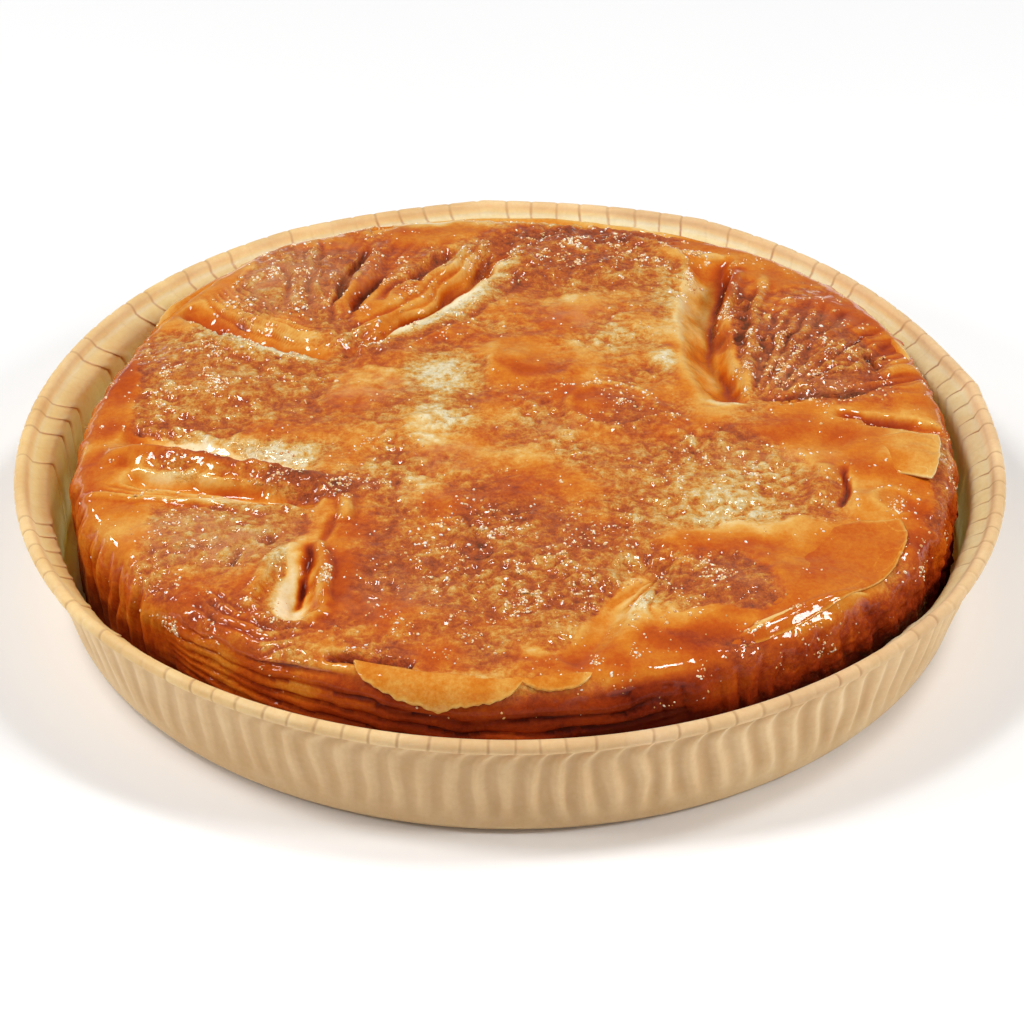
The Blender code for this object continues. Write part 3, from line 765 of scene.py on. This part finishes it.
def make_plates(points, material):
    """The two loose plates of set glaze, bent softly over the shoulder at their far side."""
    find = height_finder(points)
    line = np.linspace(0, 1, PLATE_GRID)
    u, v = np.meshgrid(line, line)
    for name, corners, lifts, tone, fade, seed in PLATES:
        a = 0.5 + (u - 0.5) * (1 - 0.10 * (2 * v - 1) ** 4)
        b = 0.5 + (v - 0.5) * (1 - 0.10 * (2 * u - 1) ** 4)
        weights = ((1 - a) * (1 - b), a * (1 - b), a * b, (1 - a) * b)
        x = sum(w * c[0] for w, c in zip(weights, corners))
        y = sum(w * c[1] for w, c in zip(weights, corners))
        flat = np.stack([x, y, 0 * x], axis=2)
        x = x + (1.6 * perlin(flat, 8, seed) + 0.4 * perlin(flat, 2.5, seed + 1))
        y = y + (1.6 * perlin(flat, 8, seed + 2) + 0.4 * perlin(flat, 2.5, seed + 3))
        far = np.maximum(np.hypot(x, y), PLATE_BEND)
        room = PLATE_REACH - PLATE_BEND
        held = PLATE_BEND + room * (1 - np.exp((PLATE_BEND - far) / room))
        x, y = x * held / far, y * held / far
        lift = sum(w * h for w, h in zip(weights, lifts))
        base = np.array([find(a, b) for a, b in zip(x.ravel(), y.ravel())]).reshape(x.shape)
        base = blur(np.pad(base, 8, "edge"), 10)[8:-8, 8:-8]
        edge = rounded(u, v, 0.06)
        top = base + lift + PLATE_THICKNESS * (1 - 0.55 * edge ** 2)
        upper = np.stack([x, y, top], axis=2)
        lower = np.stack([x, y, base + lift - 0.15], axis=2)
        crack = 1 - ramp(np.abs(perlin(flat, 7, seed + 5)), 0, 0.035)
        shade = tone + fade * (1 - u) - 0.16 * edge ** 2 - 0.10 * crack * ramp(u, 0.55, 0.75)
        shade = shade + 0.06 * perlin(flat, 7, seed + 4)
        shell(upper, lower, name,
              {"tone": shade, "film": 0 * u + 1, "gloss": 0 * u + 1}, material)


# Reach of the glaze that has run between the cake and the case: bearing, radius.
WEB_REACH = [
    (18, 82.0), (24, 85.5), (32, 89.0), (40, 90.2), (46, 89.5), (50, 87.0), (55, 89.0),
    (61, 90.0), (66, 87.5), (70, 84.0), (76, 86.0), (82, 89.0), (92, 89.5), (102, 88.5),
    (110, 90.0), (118, 90.2), (126, 89.0), (134, 88.0), (141, 85.5), (150, 82.0),
]
WEB_COLUMNS = 300
WEB_ROWS = 12
WEB_INNER = 80.0
WEB_THICKNESS = 0.7


def make_web(material):
    """The sheet of glaze that hangs from the back of the cake to the wall of the case."""
    degrees = np.linspace(WEB_REACH[0][0], WEB_REACH[-1][0], WEB_COLUMNS)
    bearing = np.radians(degrees)[:, None] * np.ones(WEB_ROWS)
    outer = np.interp(degrees, *zip(*WEB_REACH))[:, None]
    share = np.linspace(0, 1, WEB_ROWS)[None, :]
    ring = around(NOISE_RADIUS, bearing, 20 * share + 0 * bearing)
    outer = outer + (0.8 * perlin(ring, 4, 71) + 0.4 * perlin(ring, 1.7, 72))
    radius = WEB_INNER + (outer - WEB_INNER) * share
    crest = PASTRY_TOP - TOP_DROP - TOP_TILT * radius * np.sin(bearing) + 0.3
    fall = ramp(radius, 82.5, 90.5)
    wall = RIM_TOP - 2.6 + waves(bearing, RIM_WAVE)
    height = crest + (wall - crest) * fall - 0.8 * np.clip(83 - radius, 0, 3)
    height = height + 0.35 * perlin(ring, 8, 73)
    upper = around(radius, bearing, height)
    lower = upper - (0, 0, WEB_THICKNESS)
    tone = 0.46 - 0.26 * ramp(share, 0.5, 1.0) + 0.08 * perlin(ring, 9, 74)
    golden = bearing_window(bearing, 98, 28, 8)
    tone = tone - 0.20 * golden * ramp(share, 0.1, 0.5)
    shell(upper[:, ::-1], lower[:, ::-1], "glaze_web",
          {"tone": tone[:, ::-1], "film": 0 * tone + 1, "gloss": 0 * tone + 1}, material)


# The tongues of glaze over the front edge: middle bearing, half angle, length.
TONGUES = [(-99.2, 10.8, 5.8), (-84.6, 4.6, 2.8)]
TONGUE_ENDS = (-110.2, -79.8)
TONGUE_GRID = (260, 30)
TONGUE_START = 3.0               # how far inside the edge it starts
TONGUE_TURN = 6.5                # the way over the edge


def make_tongue(material):
    """The broad tongue of glaze that hangs over the front edge, with its ragged hem."""
    columns, rows = TONGUE_GRID
    degrees = np.linspace(*TONGUE_ENDS, columns)
    bearing = np.radians(degrees)[:, None] * np.ones(rows)
    ring = around(NOISE_RADIUS, bearing, 0 * bearing)
    hem = np.zeros_like(bearing)
    for middle, half, length in TONGUES:
        across = (degrees[:, None] - middle) / half
        hem = np.maximum(hem, length * np.clip(1 - across ** 2, 0, 1) ** 0.6)
    ragged = 0.8 * perlin(ring, 4, 81) + 0.5 * perlin(ring, 1.2, 82)
    hem = hem * (1 + 0.16 * ragged)
    share = np.linspace(0, 1, rows)[None, :]
    path = -TONGUE_START + (np.clip(hem, 0.2, None) + TONGUE_START) * share
    edge_height = PASTRY_TOP - TOP_DROP
    turn = np.clip(path / TONGUE_TURN, 0, 1) * math.pi / 2
    radius = PASTRY_RADIUS - SHOULDER_WIDTH + np.minimum(path, 0)
    radius = radius + (SHOULDER_WIDTH + 1.0) * np.sin(turn) + waves(bearing, PASTRY_STRAY)
    height = edge_height + 0.6 - (SHOULDER_DROP + 1.0) * (1 - np.cos(turn))
    height = height - np.clip(path - TONGUE_TURN, 0, None) - TOP_TILT * radius * np.sin(bearing)
    height = height - 1.8 * ramp(-path, 0.0, TONGUE_START)
    height = height + 0.25 * perlin(ring, 7, 83)
    upper = around(radius, bearing, height)
    lower = upper - around(0.9 * np.sin(turn), bearing, 0.5 + 0.3 * np.cos(turn))
    rim = 1 - ramp(1 - share + 0 * bearing, 0, 0.12)
    tone = 0.42 - 0.02 * share - 0.08 * rim + 0.12 * perlin(ring, (6, 6, 3), 84)
    shell(upper, lower, "glaze_tongue",
          {"tone": tone, "film": 0 * tone + 0.9, "gloss": 0 * tone + 0.8}, material)


# Materials

def new_material(name):
    made = bpy.data.materials.new(name)
    made.use_nodes = True
    tree = made.node_tree
    return made, tree, tree.nodes["Principled BSDF"]


def feed(tree, node, **values):
    """Sets or links a node's inputs and properties, named with _ for each space."""
    for name, value in values.items():
        label = name.replace("_", " ")
        socket = node.inputs.get(label) or node.inputs.get(label.capitalize())
        if name in ("in0", "in1"):
            socket = node.inputs[int(name[2])]
        if socket is None:
            setattr(node, name, value)
        elif isinstance(value, bpy.types.NodeSocket):
            tree.links.new(value, socket)
        else:
            socket.default_value = value
    return node


def add(tree, kind, **values):
    return feed(tree, tree.nodes.new(kind), **values)


def math_node(tree, operation, a, b, clamp=False):
    return add(tree, "ShaderNodeMath", operation=operation, in0=a, in1=b,
               use_clamp=clamp).outputs[0]


def attribute(tree, name):
    return add(tree, "ShaderNodeAttribute", attribute_name=name).outputs["Fac"]


def color_ramp(tree, value, stops):
    """A colour ramp through (place, colour) stops."""
    node = add(tree, "ShaderNodeValToRGB")
    tree.links.new(value, node.inputs[0])
    elements = node.color_ramp.elements
    while len(elements) > 1:
        elements.remove(elements[-1])
    elements[0].position, elements[0].color = stops[0]
    for place, color in stops[1:]:
        elements.new(place).color = color
    return node.outputs["Color"]


def noise_node(tree, where, size_mm, detail=3.0, roughness=0.55):
    """Noise with features of a size, as a value round 0.5."""
    return add(tree, "ShaderNodeTexNoise", Vector=where, Scale=1 / (size_mm * MM),
               Detail=detail, Roughness=roughness).outputs["Fac"]


def mix_color(tree, share, low, high):
    """A colour between low, at a share of 0, and high, at 1."""
    node = add(tree, "ShaderNodeMix", data_type="RGBA")
    for socket, value in zip((0, 6, 7), (share, low, high)):
        if isinstance(value, bpy.types.NodeSocket):
            tree.links.new(value, node.inputs[socket])
        else:
            node.inputs[socket].default_value = value
    return node.outputs[2]


def map_range(tree, value, low, high, to_low, to_high):
    return add(tree, "ShaderNodeMapRange", Value=value, From_Min=low, From_Max=high,
               To_Min=to_low, To_Max=to_high).outputs["Result"]


# The colour of each tone, from pale dough to dark caramel.
CARAMEL = [
    (0.00, (246, 230, 190)), (0.15, (236, 202, 136)), (0.30, (228, 168, 78)),
    (0.44, (214, 126, 34)), (0.58, (194, 86, 18)), (0.74, (162, 58, 16)), (0.90, (126, 38, 10)),
    (1.00, (88, 22, 8)),
]


def crust_material():
    made, tree, shader = new_material("caramelised crust")
    where = add(tree, "ShaderNodeTexCoord").outputs["Object"]
    tone, film = attribute(tree, "tone"), attribute(tree, "film")
    crust = math_node(tree, "SUBTRACT", 1.0, film)
    coarse = noise_node(tree, where, 2.6, 3.0, 0.6)
    fine = noise_node(tree, where, 0.9, 3.0, 0.7)
    speck = math_node(tree, "ADD", math_node(tree, "MULTIPLY", coarse, 0.5),
                      math_node(tree, "MULTIPLY", fine, 0.7))
    speck = math_node(tree, "SUBTRACT", speck, 0.6)
    amount = map_range(tree, crust, 0, 1, 0.28, 1.3)
    speck = math_node(tree, "MULTIPLY", speck, amount)
    tone = math_node(tree, "ADD", tone, speck, clamp=True)
    color = color_ramp(tree, tone, [(place, srgb(*shade)) for place, shade in CARAMEL])
    # Painted sheen: the dull crust is mixed towards a pale pink.
    pink_sheen = math_node(tree, "MULTIPLY", attribute(tree, "pink_sheen"), 0.7)
    color = mix_color(tree, pink_sheen, color, srgb(218, 146, 98))
    rough = math_node(tree, "ADD", noise_node(tree, where, 1.8, 5.0, 0.7),
                      math_node(tree, "MULTIPLY", fine, 0.45))
    strength = map_range(tree, crust, 0, 1, 0.22, 1.0)
    bump = add(tree, "ShaderNodeBump", Strength=strength, Distance=0.9 * MM, Height=rough)
    pool = add(tree, "ShaderNodeBump", Strength=map_range(tree, crust, 0, 1, 0.16, 0.8),
               Distance=1.6 * MM, Height=noise_node(tree, where, 2.8, 1.0, 0.4))
    beads = add(tree, "ShaderNodeTexVoronoi", Vector=where, Scale=1 / (1.1 * MM),
                feature="SMOOTH_F1").outputs["Distance"]
    glint = add(tree, "ShaderNodeBump", Strength=attribute(tree, "sparkle"),
                Distance=0.22 * MM, Height=beads, Normal=pool.outputs[0], invert=True)
    feed(tree, shader, Base_Color=color, Roughness=map_range(tree, film, 0, 1, 0.60, 0.35),
         Specular_IOR_Level=0.0, Coat_Weight=attribute(tree, "gloss"), Coat_IOR=1.42,
         Coat_Roughness=0.05, Normal=bump.outputs[0], Coat_Normal=glint.outputs[0])
    return made


def sugar_and_glint_material():
    made, tree, shader = new_material("sugar grains and painted glints")
    where = add(tree, "ShaderNodeTexCoord").outputs["Object"]
    cloud = noise_node(tree, where, 0.5, 2.0)
    shade = math_node(tree, "ADD", attribute(tree, "whiteness_and_glint"),
                      math_node(tree, "MULTIPLY", math_node(tree, "SUBTRACT", cloud, 0.5), 0.4),
                      clamp=True)
    # The beads run from amber to near white: the pale ones are partly white sugar, partly
    # painted glints.
    color = color_ramp(tree, shade, [
        (0.0, srgb(212, 138, 60)),
        (0.45, srgb(238, 190, 120)),
        (0.75, srgb(254, 232, 192)),
        (1.0, srgb(255, 250, 240)),
    ])
    feed(tree, shader, Base_Color=color, Roughness=map_range(tree, cloud, 0, 1, 0.08, 0.22),
         Coat_Weight=1.0, Coat_Roughness=0.06)
    return made


def paper_material():
    made, tree, shader = new_material("kraft paper")
    where = add(tree, "ShaderNodeTexCoord").outputs["Object"]
    inside, crease = attribute(tree, "inside"), attribute(tree, "crease")
    grease = attribute(tree, "grease")
    fibre = noise_node(tree, where, 1.1, 5.0, 0.7)
    cloud = noise_node(tree, where, 9.0, 3.0, 0.5)
    tone = math_node(tree, "ADD", math_node(tree, "MULTIPLY", fibre, 0.35),
                     math_node(tree, "MULTIPLY", cloud, 0.45))
    dry = color_ramp(tree, tone, [(0.2, srgb(224, 186, 136)), (0.6, srgb(248, 218, 172))])
    oily = color_ramp(tree, tone, [(0.2, srgb(240, 196, 116)), (0.6, srgb(255, 234, 172))])
    # Brown crease lines on the inner wall: partly the paper's own darker folds, partly painted
    # shade in them.
    line = map_range(tree, crease, 0.10, 0.42, 0.90, 0.0)
    line = math_node(tree, "MULTIPLY", line, inside)
    # Mixed towards a darker brown: the roll's toasted colour; in the outer flutes' valleys
    # partly darker creases, partly painted shade; painted shade on the front of the outer wall
    # and on the west collar; and darker towards the bottom of the outer wall.
    toast_and_shade = math_node(tree, "MULTIPLY", attribute(tree, "toast_and_shade"), 0.40)
    color = mix_color(tree, grease, dry, oily)
    color = mix_color(tree, line, color, srgb(160, 94, 40))
    color = mix_color(tree, toast_and_shade, color, srgb(186, 134, 78))
    sheer = map_range(tree, attribute(tree, "sheer"), 0, 1, 1.1 * MM, 7.0 * MM)
    bump = add(tree, "ShaderNodeBump", Strength=0.25, Distance=0.12 * MM, Height=fibre)
    feed(tree, shader, Base_Color=color, Roughness=map_range(tree, grease, 0, 1, 0.75, 0.42),
         Subsurface_Weight=0.8, Subsurface_Radius=(1.0, 1.0, 1.0), Subsurface_Scale=sheer,
         Normal=bump.outputs[0])
    return made


# Paper case

def case_section():
    """Points (radius, height, inside) of the case's section, inner floor over rim to base."""
    roll_radius = RIM_RADIUS - ROLL_RADIUS
    roll_height = RIM_TOP - ROLL_RADIUS
    wall_head = roll_height - 0.4 * ROLL_RADIUS
    section = [(0.0, PAPER, 1.0), (BASE_RADIUS * 0.6, PAPER, 1.0)]
    for turn in np.linspace(0, math.pi / 2, 4):
        section.append((BASE_RADIUS - PAPER + (WALL_FOOT_RADIUS - BASE_RADIUS) * math.sin(turn),
                        PAPER + FOOT_HEIGHT * (1 - math.cos(turn)), 1.0))
    foot = PAPER + FOOT_HEIGHT
    for share in [*np.linspace(0, COLLAR_SHARE, 11)[1:], *np.linspace(COLLAR_SHARE, 1, 6)[1:]]:
        radius = WALL_FOOT_RADIUS + (WALL_HEAD_RADIUS - WALL_FOOT_RADIUS) * share - PAPER
        section.append((radius, foot + (wall_head - foot) * share, 1.0))
    for degrees in range(150, -151, -25):
        turn = math.radians(degrees)
        section.append((roll_radius + ROLL_RADIUS * math.cos(turn),
                        roll_height + ROLL_RADIUS * math.sin(turn), 0.51))
    head = (WALL_HEAD_RADIUS, roll_height - 0.6 * ROLL_RADIUS)
    for share in np.linspace(0, 1, 13)[:-1]:
        section.append((head[0] + (WALL_FOOT_RADIUS - head[0]) * share,
                        head[1] + (FOOT_HEIGHT - head[1]) * share, 0.0))
    for turn in np.linspace(math.pi / 2, 0, 4):
        section.append((BASE_RADIUS + (WALL_FOOT_RADIUS - BASE_RADIUS) * math.sin(turn),
                        FOOT_HEIGHT * (1 - math.cos(turn)), 0.0))
    section += [(BASE_RADIUS * 0.6, 0.0, 0.0), (0.0, 0.0, 0.0)]
    return np.array(section)


def make_case(material):
    """The case: a closed skin of paper, with pressed pleats that lean and waver."""
    section = case_section()[1:-1]
    columns = PLEATS * STEPS_PER_PLEAT
    count = np.repeat(np.arange(columns), len(section))
    bearing = count * math.tau / columns
    radius, height, inside = (np.tile(section[:, k], columns) for k in range(3))
    ring = around(NOISE_RADIUS, bearing, height)

    climb = np.clip(height / RIM_TOP, 0, 1)
    climb = np.where(radius > BASE_RADIUS - 1, climb ** WALL_EXPONENT, 0)
    lean = 0.25 * perlin(ring, (30, 30, 16), 41) + 0.12 * perlin(ring, (8, 8, 9), 42)
    lean += 0.35 * perlin(ring, (60, 60, 1000), 47) * ramp(height, 20.0, 24.5)
    kink = 0.7 * (1 - ramp(height, 18.5, 23.5))
    bearing = bearing - (lean * 1.6 + kink) * math.tau / PLEATS
    phase = count / STEPS_PER_PLEAT
    share = phase - np.floor(phase)
    crease = np.minimum(share, 1 - share)
    pitch = math.tau * RIM_RADIUS / PLEATS

    right = bearing_window(bearing, -40, 42, 35)
    depth = 0.45 + 0.5 * right + 0.35 * perlin(ring, (14, 14, 40), 43)
    flute = 1 - np.abs(np.cos(math.pi * phase)) ** 1.6 + 0.35 * perlin(ring, (3.5, 3.5, 14), 44)
    overlap = share - 0.5 * np.exp(-share * pitch / 0.45)
    pillow = 1 - np.exp(-crease * pitch / 0.8)
    scallop = height + 0.7 * np.cos(math.tau * phase)
    wall = ramp(height, 2.0, 9.0) * (1 - ramp(scallop, 20.6, 22.4))
    outside = (inside < 0.5) & (radius > BASE_RADIUS - 1)
    indoor = (inside > 0.9) & (radius > BASE_RADIUS - 1)
    rolled = (inside > 0.5) & (inside < 0.9)
    shift = np.where(outside, wall * depth * (flute - 0.5), 0)
    draw = np.random.default_rng(9)
    strength = np.where(draw.random(PLEATS) < 0.33, 0.08, draw.uniform(0.6, 1.0, PLEATS))
    strength = strength[np.round(phase).astype(int) % PLEATS]
    pillow = 1 - (1 - pillow) * strength
    edge = COLLAR_FOOT + 0.5 * np.cos(math.tau * phase) * strength
    inward = np.clip((height - FOOT_HEIGHT) / (edge - FOOT_HEIGHT), 0, 1)
    inward *= 1 - np.clip((height - edge) / (COLLAR_HEAD - edge), 0, 1)
    relief = 0.30 * pillow + 0.35 * (overlap + 0.5) * strength
    relief *= ramp(height, 2.0, 9.0) * (1 - ramp(height, 22.8, COLLAR_HEAD))
    reach = COLLAR_REACH * (1 - 0.5 * bearing_window(bearing, -90, 55, 20))
    shift = np.where(indoor, -reach * inward - relief, shift)
    notch = np.exp(-(crease * pitch / 0.35) ** 2)
    shift = np.where(rolled, -0.16 * notch, shift)
    radius = radius + climb * rim_stray(bearing) + shift
    height = height + climb * waves(bearing, RIM_WAVE) - np.where(rolled, 0.12 * notch, 0)
    points = around(radius, bearing, height)

    rows = len(section)
    index = np.arange(columns * rows).reshape(columns, rows)
    after = np.roll(index, -1, axis=0)
    faces = np.stack([index[:, :-1], after[:, :-1], after[:, 1:], index[:, 1:]],
                     axis=2).reshape(-1, 4).tolist()
    faces += [index[::-1, 0].tolist(), index[:, -1].tolist()]

    # Darker in the valleys of the outer flutes: partly the paper's darker creases, partly
    # painted shade.
    toast_and_shade = np.where(outside, wall * np.clip(1 - 1.6 * flute, 0, 1), 0)
    toast_and_shade = toast_and_shade + rolled * (0.7 + 0.5 * perlin(ring, (9, 9, 3), 48))
    # Darker towards the bottom of the outer wall.
    toast_and_shade = toast_and_shade + outside * 0.35 * (1 - ramp(height, 2.0, 14.0))
    # Painted shade on the front of the outer wall.
    toast_and_shade = toast_and_shade + outside * 0.35 * bearing_window(bearing, -105, 22, 25)
    west = bearing_window(bearing, 180, 50, 60)
    # Painted shade on the collar of the west side.
    toast_and_shade = toast_and_shade + indoor * 0.9 * west * ramp(height, 20.5, 21.6)
    lower = 1 - ramp(height, 19.5, 22.0)
    grease = np.where(inside > 0.5, 0.3 + 0.5 * west + 0.1 * lower - 0.2 * (inside < 0.9), 0.05)
    grease = grease + 0.25 * perlin(ring, 14, 46) * (inside > 0.5)
    fields = {
        # Strength of the crease lines on the inner wall: partly the folds' own colour, partly
        # painted shade.
        "inside": inside * strength * (0.25 + 0.75 * ramp(height, 17.5, 21.0)),
        "sheer": (inside > 0.9) * ramp(height, 4.0, 9.0),
        "crease": crease * pitch,
        "grease": np.clip(grease, 0, 1),
        "toast_and_shade": np.clip(toast_and_shade, 0, 1),
    }
    piece = link("paper_case_skin", points, faces, material, fields)
    piece.data.set_sharp_from_angle(angle=math.radians(60))
    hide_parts("paper_case")
    return piece


# Stage, light and camera

CAMERA_ELEVATION = 33.95
CAMERA_DISTANCE = 991.0
CAMERA_AIM_HEIGHT = 19.0
CAMERA_LENS = 179.7
CAMERA_SHIFT_Y = -0.0309
WORLD_STRENGTH = 0.20
# Softboxes that face the pastry: name, place and size in metres, power in watts.
LIGHTS = [
    ("left", (-0.50, -0.08, 0.95), (0.22, 0.22), 4.3),
    ("right", (0.46, 0.05, 0.98), (0.18, 0.18), 3.1),
    ("low left", (-0.90, -0.20, 0.60), (0.16, 0.16), 2.4),
    ("low right", (0.80, -0.26, 0.66), (0.16, 0.28), 3.8),
    ("back left", (-0.96, 0.61, 0.54), (0.30, 0.10), 2.0),
    ("front", (0.0, -1.10, 0.90), (1.00, 0.60), 0.4),
]


def make_camera():
    data = bpy.data.cameras.new("camera")
    data.lens = CAMERA_LENS
    data.shift_y = CAMERA_SHIFT_Y
    camera = bpy.data.objects.new("camera", data)
    bpy.context.scene.collection.objects.link(camera)
    aim = Vector((BASE_MIDDLE[0], BASE_MIDDLE[1], CAMERA_AIM_HEIGHT)) * MM
    tilt = math.radians(CAMERA_ELEVATION)
    back = Vector((0, -math.cos(tilt), math.sin(tilt)))
    camera.location = aim + back * CAMERA_DISTANCE * MM
    camera.rotation_euler = (-back).to_track_quat("-Z", "Y").to_euler()
    bpy.context.scene.camera = camera


def area_light(name, place, size, power):
    data = bpy.data.lights.new(name, "AREA")
    data.shape = "RECTANGLE"
    data.size, data.size_y = size
    data.energy = power
    light = bpy.data.objects.new(name, data)
    light.location = place
    light.rotation_euler = (-Vector(place)).to_track_quat("-Z", "Y").to_euler()
    bpy.context.scene.collection.objects.link(light)


def make_studio():
    bpy.ops.mesh.primitive_plane_add(size=6, location=(0, 0, -0.0002))
    floor = bpy.context.object
    floor.name = "floor"
    paint, tree, shader = new_material("studio floor")
    where = add(tree, "ShaderNodeTexCoord").outputs["Object"]
    shade = noise_node(tree, where, 300)
    color = color_ramp(tree, shade, [(0.3, srgb(247, 247, 247)), (0.7, srgb(250, 250, 250))])
    feed(tree, shader, Base_Color=color, Roughness=0.9)
    floor.data.materials.append(paint)
    world = bpy.data.worlds.new("studio")
    world.use_nodes = True
    background = world.node_tree.nodes["Background"]
    background.inputs["Color"].default_value = (1, 1, 1, 1)
    background.inputs["Strength"].default_value = WORLD_STRENGTH
    bpy.context.scene.world = world
    for light in LIGHTS:
        area_light(*light)
    bpy.context.scene.view_settings.view_transform = "Standard"


make_camera()
crust = crust_material()
cake = make_pastry(crust, sugar_and_glint_material())
make_plates(cake, crust)
make_web(crust)
make_tongue(crust)
make_case(paper_material())
make_studio()
